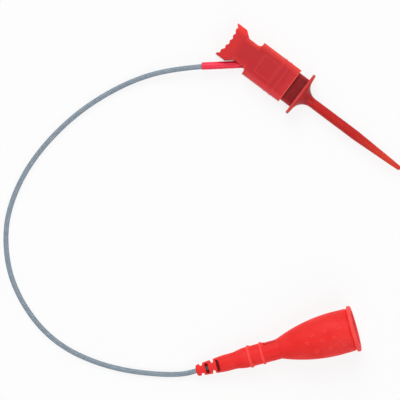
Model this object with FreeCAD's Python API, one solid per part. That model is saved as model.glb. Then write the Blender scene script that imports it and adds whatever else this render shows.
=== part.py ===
import FreeCAD, Part
import math
import os

# Test hook clip with a lead and a push-on boot, lying flat, in millimetres.
# The clip's axis runs along +X towards the hook, +Y goes across it and +Z points up.
# The origin is under the middle of the clip, on the surface that it lies on.

V = FreeCAD.Vector

# Inner stem: the flat bar that slides in the sleeve
stemWidth = 8.5
stemThickness = 3.6
stemEdgeRadius = 0.6
spigotRadius = 1.6
spigotLength = 1.4

# Travel of the nose into the sleeve, and the clearances
travel = 2.8
restGap = 3.1
slideClearance = 0.1
endClearance = 0.15
fitClearance = 0.02

# How far a shape that cuts or joins runs past the face that it meets
overrun = 1.0

# How near two places or sizes are when they count as the same
near = 0.001

# Snap nubs on the stem, which run in grooves in the sleeve's walls
nubLength = 1.4
nubWidth = 4.6
nubCatch = 0.2
nubHeel = 0.05
nubRamp = 1.0
nubSetback = 0.35

# Grip sleeve: barrel, neck and thumb crown, measured from the crown's horn tips
sleeveWall = 0.6
sleeveLength = 20.6
barrelLength = 12.0
barrelEdgeRadius = 0.9
cavityDepth = 9.95
neckWidth = 6.8
neckLength = 3.8
neckFillet = 0.85
slantLength = 1.8
crownWidth = 9.75
crownEdgeRadius = 0.45
crownCornerRadius = 0.5
neckCornerRadius = 0.8
dishDepth = 0.95
toothCount = 5
toothPitch = 1.6
toothDepth = 0.45
toothRounding = 0.12
hornBlunt = 0.12
ribWidth = 0.7
ribProud = 0.08
ribPitch = 1.72
ribSetback = 2.75

# Nose piece: finger flange, concave flare and tapered tube
flangeWidth = 12.3
flangeTipThickness = 0.75
flangeDraft = 0.15
flareLength = 3.6
flareBands = 5
noseDiameter = 2.53
noseLength = 32.7
taperLength = 14.2
tipDiameter = 1.26
tipChamfer = 0.2
wireChannelRadius = 0.75
channelSetback = 1.0
slotLength = 2.1

# Hook wire
wireDiameter = 0.32
wireClearance = 0.05
hookSpacing = 0.72
hookLegLength = 1.5
hookProud = 0.3
tailBendRadius = 0.5
tailChannelRadius = 0.3

# Return spring
springWire = 0.26
springMeanRadius = 1.12
springTurns = 7
springSides = 4
springClearance = 0.1
springSeatDepth = 1.5

# Lead's exit in the side of the neck
exitFromCrown = 6.65
exitAngle = 39.5
ferruleRadius = 0.6
ferruleLength = 3.8
shrinkRadius = 1.0
shrinkLength = 12.1
shrinkInside = 2.3
shrinkChamfer = 0.12
bareLength = 2.2
bareOverlap = 0.1

# Lead
leadDiameter = 1.3
conductorDiameter = 0.6

# Boot: lengths from the tail end along its own axis
bootLength = 43.0
tailRadius = 1.5
tailTaperEnd = 7.7
waistRadius = 2.17
waistEnd = 10.3
collarStart = 13.1
collarRadius = 2.67
collarRings = ((14.5, 0.95, 0.3), (17.85, 0.9, 0.27))
bellStart = 22.5
bellEnd = 38.0
bellRadius = 5.67
bellWall = 0.9
bellBands = 3
bellInnerBands = 2
rimNeckRadius = 5.57
rimRadius = 6.08
rimWidth = 1.05
mouthLip = 0.2
edgeChamfer = 0.25
slotWidth = 0.8
slotCount = 4
firstSlot = 1.43
tailSlotPitch = 1.51
sideSlotFlat = 0.95
topSlotFlat = 0.35
topSlotSpine = 0.45
windowStart = 19.0
windowLength = 2.8
windowHeight = 2.8
windowClearance = 0.06

# Socket inside the boot
ferruleChamber = 6.1
ferruleChamberRadius = 1.35
jacketFerruleLength = 1.5
chamberStart = 12.6
chamberRadius = 1.75
shoulderStart = 26.2
shoulderRadius = 2.7
shoulderLength = 1.0
socketRadius = 2.2
socketFace = 33.0
socketLip = 0.7
lipRadius = 1.2
insulatorStart = 12.75
insulatorChamfer = 0.3
insulatorClearance = 0.05
padRecess = 0.1
contactBore = 1.02
contactWall = 0.4
contactBoreLength = 14.0
contactSlotLength = 6.0
contactSlotWidth = 0.3
contactLeadIn = 0.3
crimpRadius = 0.85
crimpLength = 7.0
crimpBoreLength = 3.6
barbStart = 22.0
barbWidth = 0.5
barbHeight = 0.13

# Boot's place on the surface: its tail end and its direction, seen from above
bootTailX = 17.41
bootTailY = -73.95
bootHeading = 52.36

# Corner points of the lead's route, from the splice in the clip to the boot's inside
leadPoints = (
    (-23.40, -4.80, 2.58),
    (-33.20, -12.88, 2.58),
    (-41.60, -23.00, 0.75),
    (-47.70, -37.00, 0.68),
    (-50.10, -51.30, 0.68),
    (-49.20, -63.90, 0.68),
    (-44.70, -75.40, 0.68),
    (-34.20, -85.70, 0.68),
    (-18.10, -90.90, 0.68),
    (-1.60, -87.60, 0.70),
    (13.44, -79.10, 0.69),
    (22.14, -67.82, 2.37),
)

# Places along X
sleeveWidth = stemWidth + 2 * (slideClearance + sleeveWall)
sleeveThickness = stemThickness + 2 * (slideClearance + sleeveWall)
overallLength = sleeveLength + restGap + noseLength + hookProud
crownTipX = -overallLength / 2
sleeveFrontX = crownTipX + sleeveLength
barrelRearX = sleeveFrontX - barrelLength
cavityRearX = sleeveFrontX - cavityDepth
stemRearX = cavityRearX + travel + endClearance
flangeX = sleeveFrontX + restGap
noseEndX = flangeX + noseLength
axisZ = sleeveThickness / 2 + ribProud
axis = V(0, 0, axisZ)

wireRadius = wireDiameter / 2
hookRadius = hookSpacing / 2
leadRadius = leadDiameter / 2
conductorRadius = conductorDiameter / 2

# The lead leaves the neck's lower side, backwards at the exit angle
exitX = crownTipX + exitFromCrown
exitY = -neckWidth / 2
exitWay = V(-math.cos(math.radians(exitAngle)), -math.sin(math.radians(exitAngle)), 0)
exitPoint = V(exitX, exitY, axisZ)

# The boot lies on the bevelled edge of its tail and the belly of its bell
rimStart = bootLength - rimWidth
bellRise = bellRadius - collarRadius
bellRun = bellEnd - bellStart
bellArcRadius = (bellRun ** 2 + bellRise ** 2) / (2 * bellRise)
bellCentre = bellRadius - bellArcRadius
alongAxis = bellEnd - edgeChamfer
acrossAxis = tailRadius - bellCentre
contactTurn = math.acos(bellArcRadius / math.hypot(alongAxis, acrossAxis))
tilt = math.atan2(alongAxis, acrossAxis) - contactTurn
bootTailZ = tailRadius * math.cos(tilt) - edgeChamfer * math.sin(tilt)
bootPlace = FreeCAD.Placement(
    V(bootTailX, bootTailY, bootTailZ),
    FreeCAD.Rotation(bootHeading, -math.degrees(tilt), 0),
)


def block(x0, x1, width, thickness, centre=axis):
    corner = V(x0, centre.y - width / 2, centre.z - thickness / 2)
    return Part.makeBox(x1 - x0, width, thickness, corner)


def rod(radius, start, way, length):
    return Part.makeCylinder(radius, length, start, way)


def edgesAlongX(shape):
    found = []
    for edge in shape.Edges:
        first = edge.Vertexes[0].Point
        last = edge.Vertexes[-1].Point
        if abs(first.y - last.y) < near and abs(first.z - last.z) < near:
            found.append(edge)
    return found


def roundedBar(x0, x1, width, thickness, radius):
    bar = block(x0, x1, width, thickness)
    return bar.makeFillet(radius, edgesAlongX(bar))


def extrudeOutline(points, thickness):
    low = axisZ - thickness / 2
    corners = [V(x, y, low) for x, y in points]
    face = Part.Face(Part.makePolygon(corners + corners[:1]))
    return face.extrude(V(0, 0, thickness))


def uprightEdgesAt(shape, x, y):
    found = []
    for edge in shape.Edges:
        ends = [vertex.Point for vertex in edge.Vertexes]
        if len(ends) == 2 and all(abs(p.x - x) < near and abs(p.y - y) < near for p in ends):
            found.append(edge)
    return found


# The thumb end is dished, with one row of ridges between two horns
def dishX(y):
    half = crownWidth / 2
    radius = (half ** 2 + dishDepth ** 2) / (2 * dishDepth)
    return crownTipX + dishDepth - (radius - math.sqrt(radius ** 2 - y ** 2))


def crownTeeth():
    points = []
    for i in range(toothCount):
        y = (i - (toothCount - 1) / 2) * toothPitch
        points.append((dishX(y - toothPitch / 2) + toothDepth, y - toothPitch / 2))
        points.append((dishX(y), y))
    points.append((points[0][0], -points[0][1]))
    return points


def crownAndNeck():
    halfCrown = crownWidth / 2
    halfNeck = neckWidth / 2
    neckX = barrelRearX - neckLength
    slantX = neckX - slantLength
    inside = barrelRearX + overrun
    lower = [(crownTipX, hornBlunt - halfCrown), (crownTipX + hornBlunt, -halfCrown),
             (slantX, -halfCrown), (neckX, -halfNeck), (inside, -halfNeck)]
    upper = [(x, -y) for x, y in reversed(lower)]
    teeth = crownTeeth()
    shape = extrudeOutline(lower + upper + teeth[::-1], sleeveThickness)
    for side in (-1, 1):
        crownCorner = uprightEdgesAt(shape, slantX, side * halfCrown)
        shape = shape.makeFillet(crownCornerRadius, crownCorner)
        neckCorner = uprightEdgesAt(shape, neckX, side * halfNeck)
        shape = shape.makeFillet(neckCornerRadius, neckCorner)
    shape = shape.makeFillet(crownEdgeRadius, sideRimEdges(shape))
    for x, y in teeth:
        shape = shape.makeFillet(toothRounding, uprightEdgesAt(shape, x, y))
    return shape


# Edges of the crown's top and bottom faces along its sides, in front of the horns
def sideRimEdges(shape):
    found = []
    teethEnd = dishX(0) + toothDepth + toothRounding
    for edge in shape.Edges:
        middle = edge.CenterOfMass
        side = middle.x > teethEnd and abs(middle.y) > neckWidth / 2 - near
        crown = abs(abs(middle.y) - crownWidth / 2) < near
        if edge.BoundBox.ZLength < near and (side or crown):
            found.append(edge)
    return found


def neckShoulder(side):
    corner = V(barrelRearX, side * neckWidth / 2, axisZ - sleeveThickness / 2)
    start = corner + V(-neckFillet, 0, 0)
    end = corner + V(0, side * neckFillet, 0)
    centre = corner + V(-neckFillet, side * neckFillet, 0)
    sweep = V(math.sqrt(0.5), -side * math.sqrt(0.5), 0) * neckFillet
    arc = Part.Arc(end, centre + sweep, start).toShape()
    inner = corner + V(neckFillet, -side * neckFillet, 0)
    edges = [Part.makeLine(start, V(start.x, inner.y, start.z))]
    edges.append(Part.makeLine(V(start.x, inner.y, start.z), inner))
    edges.append(Part.makeLine(inner, V(inner.x, end.y, end.z)))
    edges.append(Part.makeLine(V(inner.x, end.y, end.z), end))
    face = Part.Face(Part.Wire(edges + [arc]))
    slab = face.extrude(V(0, 0, sleeveThickness))
    return slab


def sleeveRibs():
    ribs = []
    for i in range(2):
        front = sleeveFrontX - ribSetback - i * ribPitch
        ribs.append(roundedBar(
            front - ribWidth, front, sleeveWidth + 2 * ribProud,
            sleeveThickness + 2 * ribProud, barrelEdgeRadius + ribProud))
    return ribs


def sleeveCavity():
    return roundedBar(
        cavityRearX, sleeveFrontX + overrun, stemWidth + 2 * slideClearance,
        stemThickness + 2 * slideClearance, stemEdgeRadius + slideClearance)


def latchGroove(side):
    x0 = stemRearX + nubSetback - travel - slideClearance
    x1 = stemRearX + nubSetback + nubLength + slideClearance
    depth = nubCatch + slideClearance
    surface = stemThickness / 2 + slideClearance
    centre = V(0, 0, axisZ + side * (surface + (depth - slideClearance) / 2))
    return block(x0, x1, nubWidth + 2 * slideClearance, depth + slideClearance, centre)


# Slot in the side of the neck for the heat-shrink, with a narrow channel for the wire
def exitPocket():
    wide = rod(shrinkRadius + slideClearance, exitPoint + exitWay * shrinkLength,
               exitWay * -1, shrinkLength + shrinkInside + endClearance)
    vertex = tailVertex()
    narrow = rod(tailChannelRadius, exitPoint, exitWay * -1, (vertex - exitPoint).Length)
    hole = rod(tailChannelRadius, vertex, V(1, 0, 0), cavityRearX + overrun - vertex.x)
    corner = Part.makeSphere(tailChannelRadius, vertex)
    return [wide, narrow, hole, corner]


# Where the straight wire and the line of the lead's exit would cross
def tailVertex():
    reach = (exitPoint.y + hookRadius) / exitWay.y
    return exitPoint - exitWay * reach


def gripSleeve():
    barrel = roundedBar(sleeveFrontX - barrelLength, sleeveFrontX, sleeveWidth,
                        sleeveThickness, barrelEdgeRadius)
    shape = barrel.multiFuse([crownAndNeck(), neckShoulder(-1), neckShoulder(1)] + sleeveRibs())
    shape = shape.removeSplitter()
    cuts = [sleeveCavity(), latchGroove(-1), latchGroove(1)] + exitPocket()
    return shape.cut(cuts)


def snapNub(side):
    height = slideClearance + nubCatch
    x0 = stemRearX + nubSetback
    base = axisZ + side * stemThickness / 2
    sunk = base - side * nubCatch
    points = [
        V(x0, -nubWidth / 2, sunk),
        V(x0, -nubWidth / 2, base + side * nubHeel),
        V(x0 + nubRamp, -nubWidth / 2, base + side * height),
        V(x0 + nubLength, -nubWidth / 2, base + side * height),
        V(x0 + nubLength, -nubWidth / 2, sunk),
    ]
    face = Part.Face(Part.makePolygon(points + points[:1]))
    return face.extrude(V(0, nubWidth, 0))


def innerStem():
    bar = roundedBar(stemRearX, flangeX, stemWidth, stemThickness, stemEdgeRadius)
    spigot = rod(spigotRadius, V(flangeX - overrun, 0, axisZ), V(1, 0, 0),
                 spigotLength + overrun)
    shape = bar.multiFuse([spigot, snapNub(-1), snapNub(1)]).removeSplitter()
    springBore = rod(springMeanRadius + springWire / 2 + springClearance,
                     V(stemRearX - overrun, 0, axisZ), V(1, 0, 0),
                     flangeX - springSeatDepth - stemRearX + overrun)
    wireBore = rod(wireChannelRadius, V(stemRearX, 0, axisZ), V(1, 0, 0),
                   flangeX + spigotLength + overrun - stemRearX)
    return shape.cut([springBore, wireBore])


# The flare's hollow quarter circle in straight bands, from the flange to the tube
def flareCurve():
    radius = flareLength - flangeDraft
    centreX = flangeX + flangeTipThickness + flareLength
    centreR = noseDiameter / 2 + radius
    points = []
    for i in range(flareBands + 1):
        turn = math.pi / 2 * i / flareBands
        points.append((centreX - radius * math.cos(turn), centreR - radius * math.sin(turn)))
    return points


# Half outline of the nose, turned about the clip's axis
def noseProfile():
    flangeRadius = flangeWidth / 2
    tipRadius = tipDiameter / 2
    points = [(flangeX, 0), (flangeX, flangeRadius), (flangeX + flangeTipThickness, flangeRadius)]
    points += flareCurve()
    points += [(noseEndX - taperLength, noseDiameter / 2), (noseEndX - tipChamfer, tipRadius),
               (noseEndX, tipRadius - tipChamfer), (noseEndX, 0)]
    return points


def nosePiece():
    shape = turned(noseProfile())
    shape.translate(axis)
    shape = shape.common(block(flangeX, noseEndX + overrun, flangeWidth + overrun,
                               sleeveThickness + 2 * ribProud))
    channelEnd = noseEndX - taperLength - channelSetback
    cuts = [
        rod(spigotRadius + fitClearance, V(flangeX - overrun, 0, axisZ), V(1, 0, 0),
            spigotLength + overrun + fitClearance),
        rod(wireChannelRadius, V(flangeX, 0, axisZ), V(1, 0, 0), channelEnd - flangeX),
        rod(wireRadius + wireClearance, V(channelEnd - overrun, -hookRadius, axisZ),
            V(1, 0, 0), noseEndX - channelEnd + 2 * overrun),
        block(noseEndX - slotLength, noseEndX + overrun, noseDiameter,
              wireDiameter + 2 * wireClearance),
    ]
    return shape.cut(cuts)


def sweepRound(edges, radius):
    path = Part.Wire(edges)
    start = edges[0].Vertexes[0].Point
    way = edges[0].tangentAt(edges[0].FirstParameter)
    ring = Part.Wire(Part.Circle(start, way, radius).toShape())
    return path.makePipeShell([ring], True, False)


# Straight wire with a bent tail at the splice and a U bend at the tip
def hookWire():
    vertex = tailVertex()
    turn = math.radians(exitAngle) / 2
    reach = tailBendRadius * math.tan(turn)
    tailEnd = exitPoint - exitWay * bareOverlap
    bendStart = vertex + exitWay * reach
    bendEnd = vertex + V(reach, 0, 0)
    centre = bendEnd + V(0, -tailBendRadius, 0)
    middle = vertex - centre
    middle = centre + middle * (tailBendRadius / middle.Length)
    hookX = noseEndX + hookProud - hookRadius - wireRadius
    hookStart = V(hookX, -hookRadius, axisZ)
    hookMiddle = V(hookX + hookRadius, 0, axisZ)
    hookEnd = V(hookX, hookRadius, axisZ)
    legEnd = hookEnd - V(hookLegLength, 0, 0)
    edges = [
        Part.makeLine(tailEnd, bendStart),
        Part.Arc(bendStart, middle, bendEnd).toShape(),
        Part.makeLine(bendEnd, hookStart),
        Part.Arc(hookStart, hookMiddle, hookEnd).toShape(),
        Part.makeLine(hookEnd, legEnd),
    ]
    return sweepRound(edges, wireRadius)


# The spring's wire has flats instead of a round section, to keep this hidden coil light
def springSection():
    corners = []
    for i in range(springSides + 1):
        angle = 2 * math.pi * i / springSides
        across = springWire / 2 * math.cos(angle)
        corners.append(V(springMeanRadius + across, 0, springWire / 2 * math.sin(angle)))
    return Part.makePolygon(corners)


def returnSpring():
    seatX = flangeX - springSeatDepth
    length = seatX - cavityRearX - springWire - 2 * fitClearance
    helix = Part.makeHelix(length / springTurns, length, springMeanRadius)
    coil = Part.Wire(helix.Edges).makePipeShell([springSection()], True, True)
    coil.rotate(V(0, 0, 0), V(0, 1, 0), 90)
    coil.translate(V(cavityRearX + springWire / 2 + fitClearance, 0, axisZ))
    return coil


def spliceFerrule():
    start = exitPoint - exitWay * (ferruleLength / 2)
    body = rod(ferruleRadius, start, exitWay, ferruleLength)
    wireEnd = rod(wireRadius + fitClearance, start, exitWay, ferruleLength / 2)
    coreEnd = rod(conductorRadius + fitClearance, exitPoint, exitWay, ferruleLength)
    return body.cut([wireEnd, coreEnd])


def clipEndConductor():
    start = exitPoint + exitWay * bareOverlap
    return rod(conductorRadius, start, exitWay, bareLength - bareOverlap)


def heatShrink():
    start = exitPoint - exitWay * shrinkInside
    tube = rod(shrinkRadius, start, exitWay, shrinkLength)
    rim = 2 * math.pi * shrinkRadius
    rims = [edge for edge in tube.Edges if abs(edge.Length - rim) < near]
    tube = tube.makeChamfer(shrinkChamfer, rims)
    return tube.cut(rod(leadRadius + fitClearance, start, exitWay, shrinkLength))


# Straight runs with the largest tangent arc that each corner's two runs leave room for
def routeEdges(points):
    edges = []
    start = points[0]
    for before, corner, after in zip(points, points[1:], points[2:]):
        wayIn = (corner - before).normalize()
        wayOut = (after - corner).normalize()
        turn = wayIn.getAngle(wayOut)
        reach = 0.45 * min((corner - before).Length, (after - corner).Length)
        radius = reach / math.tan(turn / 2)
        print("lead corner: turn %.1f degrees, radius %.1f mm" % (math.degrees(turn), radius))
        arcStart = corner - wayIn * reach
        arcEnd = corner + wayOut * reach
        inward = (wayOut - wayIn).normalize()
        centre = corner + inward * (radius / math.cos(turn / 2))
        edges.append(Part.makeLine(start, arcStart))
        edges.append(Part.Arc(arcStart, centre - inward * radius, arcEnd).toShape())
        start = arcEnd
    edges.append(Part.makeLine(start, points[-1]))
    return edges


def leadTube():
    edges = routeEdges([V(*point) for point in leadPoints])
    length = sum(edge.Length for edge in edges)
    tube = sweepRound(edges, leadRadius)
    expected = math.pi * leadRadius ** 2 * length
    print("lead length %.1f mm, volume %.1f of %.1f mm3" % (length, tube.Volume, expected))
    return tube


# Radius of the bell at a place along the boot, for the outside or an offset inside it
def bellRadiusAt(u, offset):
    return bellCentre + math.sqrt((bellArcRadius - offset) ** 2 - (bellEnd - u) ** 2)


def line(points):
    return [Part.makeLine(V(*a, 0), V(*b, 0)) for a, b in zip(points, points[1:])]


# The bell's curve in straight bands, each of which turns only a few degrees
def bellCurve(u0, u1, offset, bands):
    places = [u0 + (u1 - u0) * i / bands for i in range(bands + 1)]
    return line([(u, bellRadiusAt(u, offset)) for u in places])


def bootOutside():
    edges = line([(0, leadRadius + fitClearance), (0, tailRadius - edgeChamfer),
                  (edgeChamfer, tailRadius), (tailTaperEnd, waistRadius),
                  (waistEnd, waistRadius), (collarStart, collarRadius)])
    here = collarStart
    for centre, width, height in collarRings:
        crest = collarRadius + height
        edges += line([(here, collarRadius), (centre - width / 2, collarRadius),
                       (centre - width / 4, crest), (centre + width / 4, crest),
                       (centre + width / 2, collarRadius)])
        here = centre + width / 2
    edges += line([(here, collarRadius), (bellStart, collarRadius)])
    edges += bellCurve(bellStart, bellEnd, 0, bellBands)
    edges += line([(bellEnd, bellRadius), (rimStart, rimNeckRadius),
                   (rimStart, rimRadius - edgeChamfer), (rimStart + edgeChamfer, rimRadius),
                   (bootLength - edgeChamfer, rimRadius),
                   (bootLength, rimRadius - edgeChamfer)])
    return edges


def bootInside():
    mouthRadius = bellRadius - bellWall
    edges = line([(bootLength, rimRadius - edgeChamfer), (bootLength, mouthRadius + mouthLip),
                  (bootLength - mouthLip, mouthRadius), (bellEnd, mouthRadius)])
    edges += bellCurve(bellEnd, shoulderStart, bellWall, bellInnerBands)
    tailBore = leadRadius + fitClearance
    seatRadius = bellRadiusAt(shoulderStart, bellWall)
    edges += line([(shoulderStart, seatRadius), (shoulderStart, chamberRadius),
                   (chamberStart, chamberRadius), (chamberStart, ferruleChamberRadius),
                   (ferruleChamber, ferruleChamberRadius), (ferruleChamber, tailBore),
                   (0, tailBore)])
    return edges


def tailRadiusAt(u):
    share = (u - edgeChamfer) / (tailTaperEnd - edgeChamfer)
    return tailRadius + (waistRadius - tailRadius) * share


# Slots in the tail, in turn notches in its sides and pockets in its top and bottom
def tailSlots():
    slots = []
    reach = waistRadius + overrun
    for i in range(slotCount):
        centre = firstSlot + i * tailSlotPitch
        left = centre - slotWidth / 2
        half = tailRadiusAt(centre) - topSlotSpine
        flat = topSlotFlat if i % 2 else sideSlotFlat
        for low in (flat, -reach):
            if i % 2:
                slots.append(Part.makeBox(slotWidth, 2 * half, reach - flat,
                                          V(left, -half, low)))
            else:
                slots.append(Part.makeBox(slotWidth, reach - flat, 2 * reach,
                                          V(left, low, -reach)))
    return slots


def windowBlock(margin):
    height = windowHeight - 2 * margin
    return Part.makeBox(windowLength - 2 * margin, collarRadius + overrun - contactBore,
                        height, V(windowStart + margin, contactBore, -height / 2))


def boot():
    face = Part.Face(Part.Wire(Part.__sortEdges__(bootOutside() + bootInside())))
    shape = face.revolve(V(0, 0, 0), V(1, 0, 0), 360)
    shape = shape.cut(tailSlots() + [windowBlock(0)])
    shape.Placement = bootPlace
    return shape


def turned(points):
    face = Part.Face(Part.Wire(line(points + points[:1])))
    return face.revolve(V(0, 0, 0), V(1, 0, 0), 360)


# Rigid insert: its shoulder seats in the bell and its latch pad fills the boot's window
def socketInsulator():
    body = chamberRadius - insulatorClearance
    contactOuter = contactBore + contactWall + fitClearance
    front = socketFace - socketLip
    shoulderEnd = shoulderStart + shoulderLength
    barbOuter = contactOuter + barbHeight
    barbRear = barbStart - slideClearance
    barbFront = barbStart + barbWidth + slideClearance
    shape = turned([
        (insulatorStart, contactOuter), (insulatorStart, body), (shoulderStart, body),
        (shoulderStart, shoulderRadius), (shoulderEnd, shoulderRadius),
        (shoulderEnd, socketRadius), (socketFace - insulatorChamfer, socketRadius),
        (socketFace, socketRadius - insulatorChamfer),
        (socketFace, lipRadius + insulatorChamfer), (socketFace - insulatorChamfer, lipRadius),
        (front, lipRadius), (front, contactOuter), (barbFront, contactOuter),
        (barbFront, barbOuter), (barbRear, barbOuter), (barbRear, contactOuter),
    ])
    pad = rod(collarRadius - padRecess, V(0, 0, 0), V(1, 0, 0), bellStart)
    pad = pad.common(windowBlock(windowClearance))
    core = rod(barbOuter, V(0, 0, 0), V(1, 0, 0), bellStart)
    shape = shape.fuse(pad.cut(core)).removeSplitter()
    shape.Placement = bootPlace
    return shape


def contactPlaces():
    front = socketFace - socketLip - fitClearance
    rear = front - contactBoreLength
    wall = rear - contactWall
    return front, rear, wall, wall - crimpLength


def socketContact():
    front, rear, wall, crimpStart = contactPlaces()
    outer = contactBore + contactWall
    core = conductorRadius + fitClearance
    crimpEnd = crimpStart + crimpBoreLength
    shape = turned([
        (crimpStart, core), (crimpStart, crimpRadius), (wall, crimpRadius),
        (wall, outer), (barbStart, outer), (barbStart + barbWidth, outer + barbHeight),
        (barbStart + barbWidth, outer), (front, outer),
        (front, contactBore + contactLeadIn / 2), (front - contactLeadIn, contactBore),
        (rear, contactBore), (rear, 0), (crimpEnd, 0),
        (crimpEnd, core),
    ])
    slot = Part.makeBox(contactSlotLength + overrun, contactSlotWidth, 4 * outer,
                        V(front - contactSlotLength, -contactSlotWidth / 2, -2 * outer))
    shape = shape.cut(slot)
    shape.Placement = bootPlace
    return shape


# Where the lead's jacket ends, measured along the boot's axis
def leadEnd():
    end = bootPlace.inverse().multVec(V(*leadPoints[-1]))
    return end.x


def bootEndConductor():
    start = leadEnd() + fitClearance
    end = contactPlaces()[3] + crimpBoreLength - bareOverlap
    shape = rod(conductorRadius, V(start, 0, 0), V(1, 0, 0), end - start)
    shape.Placement = bootPlace
    return shape


def jacketFerrule():
    start = ferruleChamber + fitClearance
    body = rod(ferruleChamberRadius - 2 * fitClearance, V(start, 0, 0), V(1, 0, 0),
               jacketFerruleLength)
    shape = body.cut(rod(leadRadius + fitClearance, V(start, 0, 0), V(1, 0, 0),
                         jacketFerruleLength))
    shape.Placement = bootPlace
    return shape


pieces = {
    "grip_sleeve": gripSleeve,
    "inner_stem": innerStem,
    "nose_piece": nosePiece,
    "hook_wire": hookWire,
    "return_spring": returnSpring,
    "splice_ferrule": spliceFerrule,
    "clip_end_conductor": clipEndConductor,
    "heat_shrink": heatShrink,
    "lead": leadTube,
    "boot": boot,
    "socket_insulator": socketInsulator,
    "socket_contact": socketContact,
    "boot_end_conductor": bootEndConductor,
    "jacket_ferrule": jacketFerrule,
}

os.makedirs("parts", exist_ok=True)
for name, make in pieces.items():
    shape = make()
    box = shape.BoundBox
    print("%s: %d solid, valid %s, volume %.2f, x %.2f..%.2f y %.2f..%.2f z %.2f..%.2f" % (
        name, len(shape.Solids), shape.isValid(), shape.Volume,
        box.XMin, box.XMax, box.YMin, box.YMax, box.ZMin, box.ZMax))
    shape.exportStep("parts/%s.step" % name)
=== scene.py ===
import bpy, bmesh
import math
import numpy as np
from functools import partial
from mathutils import Matrix, Vector


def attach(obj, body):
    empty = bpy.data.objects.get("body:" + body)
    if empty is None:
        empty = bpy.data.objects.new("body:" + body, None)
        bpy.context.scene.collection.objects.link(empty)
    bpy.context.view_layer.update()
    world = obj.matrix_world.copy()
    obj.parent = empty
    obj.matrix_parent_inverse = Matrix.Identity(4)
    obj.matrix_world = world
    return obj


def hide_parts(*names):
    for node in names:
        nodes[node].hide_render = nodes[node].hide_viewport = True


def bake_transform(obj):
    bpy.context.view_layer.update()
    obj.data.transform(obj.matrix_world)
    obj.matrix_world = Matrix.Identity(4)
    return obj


# Test hook clip with a lead and a push-on boot, lying on a white table. Blender works in metres;
# the dictionaries are in millimetres, as the clip's own drawing is.

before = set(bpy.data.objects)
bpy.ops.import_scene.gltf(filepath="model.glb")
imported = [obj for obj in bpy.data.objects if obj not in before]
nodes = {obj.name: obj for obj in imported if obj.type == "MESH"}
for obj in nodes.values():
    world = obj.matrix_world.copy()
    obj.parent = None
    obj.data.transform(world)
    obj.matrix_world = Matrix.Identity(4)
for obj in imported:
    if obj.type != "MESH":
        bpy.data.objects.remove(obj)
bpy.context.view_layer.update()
mm = 0.001

# straight down on the table, turned as the photograph is
photoView = {"centre": (-8.67, -37.80, 2.5), "right": (0.7996, 0.6005, 0),
             "up": (-0.6005, 0.7996, 0), "width": 104.25, "distance": 600.0, "sensor": 36.0}


def makeCamera():
    data = bpy.data.cameras.new("photoCamera")
    data.sensor_width = photoView["sensor"]
    data.lens = photoView["sensor"] * photoView["distance"] / photoView["width"]
    data.clip_start, data.clip_end = 0.05, 20
    camera = bpy.data.objects.new("photoCamera", data)
    bpy.context.scene.collection.objects.link(camera)
    right, up = Vector(photoView["right"]), Vector(photoView["up"])
    back = right.cross(up)
    camera.location = (Vector(photoView["centre"]) + back * photoView["distance"]) * mm
    camera.rotation_euler = Matrix((right, up, back)).transposed().to_euler()
    bpy.context.scene.camera = camera


makeCamera()
print("camera set")


def srgb(hexColour):
    # sRGB hex to the linear values that the shaders take
    parts = np.array([int(hexColour[i:i + 2], 16) for i in (1, 3, 5)]) / 255
    linear = np.where(parts <= 0.04045, parts / 12.92, ((parts + 0.055) / 1.055) ** 2.4)
    return (*linear.tolist(), 1.0)


def addNode(tree, kind, inputs=None, out=0, **settings):
    # a value that is a socket is linked, any other is set; gives the node's output
    node = tree.nodes.new(kind)
    for name, value in settings.items():
        setattr(node, name, value)
    for name, value in (inputs or {}).items():
        if isinstance(value, bpy.types.NodeSocket):
            tree.links.new(value, node.inputs[name])
        else:
            node.inputs[name].default_value = value
    return node.outputs[out] if node.outputs else node


def newMaterial(name, **shaderInputs):
    material = bpy.data.materials.new(name)
    material.use_nodes = True
    shader = material.node_tree.nodes["Principled BSDF"]
    for socket, value in shaderInputs.items():
        shader.inputs[socket.replace("_", " ")].default_value = value
    return material, partial(addNode, material.node_tree), shader


# the skin that all mouldings share: cloud in mm, and how far it shifts the roughness
skinLook = {"detail": 3.0, "grainRoughness": 0.6, "cloud": 2.4, "glossier": 0.05, "duller": 0.06}


def mouldSkin(material, add, shader, grainMm, depthMm, roughness):
    # orange peel that a spark-eroded mould leaves, and gloss that wanders a little over it
    s = skinLook
    place = add("ShaderNodeTexCoord", out="Object")
    grain = add("ShaderNodeTexNoise", {"Vector": place, "Scale": 1 / (grainMm * mm),
                                       "Detail": s["detail"], "Roughness": s["grainRoughness"]})
    bump = add("ShaderNodeBump", {"Height": grain, "Distance": depthMm * mm})
    cloud = add("ShaderNodeTexNoise", {"Vector": place, "Scale": 1 / (s["cloud"] * mm)})
    shine = add("ShaderNodeMapRange", {"Value": cloud, "From Min": 0.3, "From Max": 0.7,
                                       "To Min": roughness - s["glossier"],
                                       "To Max": roughness + s["duller"]})
    material.node_tree.links.new(bump, shader.inputs["Normal"])
    material.node_tree.links.new(shine, shader.inputs["Roughness"])
    return place


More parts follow.
